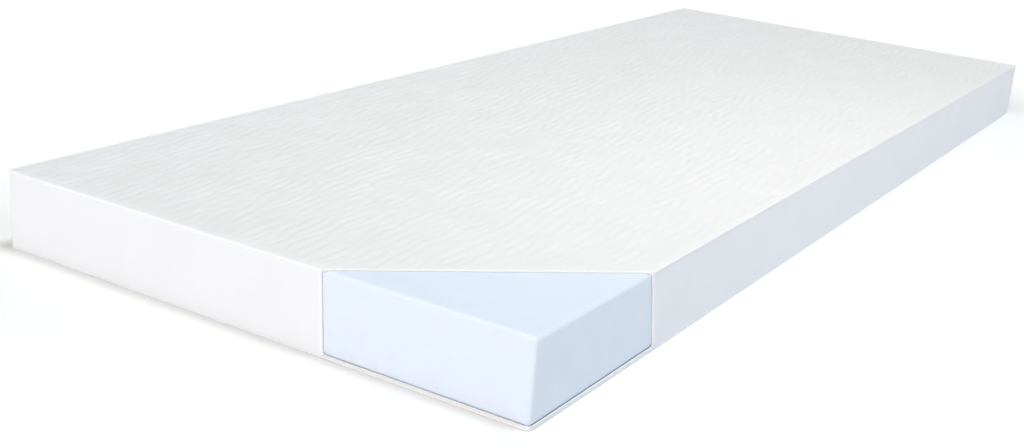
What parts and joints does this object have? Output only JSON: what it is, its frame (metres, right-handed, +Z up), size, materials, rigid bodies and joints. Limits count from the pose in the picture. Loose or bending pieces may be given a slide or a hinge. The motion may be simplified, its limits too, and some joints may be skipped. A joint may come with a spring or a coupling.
{
  "type": "memory foam mattress",
  "caption": "Single-size slab mattress: a foam core in a piped, zipped fabric cover, with one foot corner of the cover cut away and bound to show the foam.",
  "frame": {"origin": "centre of the mattress's footprint, on the flat underside", "axes": "+X to the right-hand side, +Y to the head end, +Z up from the underside to the sleeping surface"},
  "size_m": [0.8042, 2, 0.106],
  "materials": {
    "foam": "matte",
    "quilted_knit": "matte",
    "base_cloth": "matte",
    "border_cloth": "matte",
    "piping_cloth": "matte",
    "filler_cord": "matte",
    "binding_tape": "matte",
    "zip_tape": "matte",
    "zip_coil": "satin",
    "zip_metal": "satin",
    "label_cloth": "satin"
  },
  "bodies": {
    "mattress": {"foam_core": "foam", "top_panel": "quilted_knit", "bottom_panel": "base_cloth", "foot_border": "border_cloth", "right_border": "border_cloth", "head_border": "border_cloth", "left_border_upper": "border_cloth", "left_border_lower": "border_cloth", "top_piping_tape": "piping_cloth", "top_piping_cord": "filler_cord", "bottom_piping_tape": "piping_cloth", "bottom_piping_cord": "filler_cord", "cutaway_binding": "binding_tape", "zip_tape_upper": "zip_tape", "zip_tape_lower": "zip_tape", "zip_coil_upper": "zip_coil", "zip_coil_lower": "zip_coil", "zip_top_stops": "zip_metal", "zip_bottom_stop": "zip_metal", "zip_end_tab_head": "border_cloth", "zip_end_tab_foot": "border_cloth", "care_label": "label_cloth"},
    "slider": {"zip_slider": "zip_metal"},
    "pull_tab": {"zip_pull_tab": "zip_metal"}
  },
  "joints": [
    {"name": "zip_slide", "type": "slide", "parent": "mattress", "child": "slider", "axis": [0, -1, 0], "range_m": [0, 1.833]},
    {"name": "pull_hinge", "type": "hinge", "parent": "slider", "child": "pull_tab", "pos_m": [-0.4019, 0.9167, 0.053], "axis": [0, 0, 1], "range_deg": [0, 175]}
  ]
}
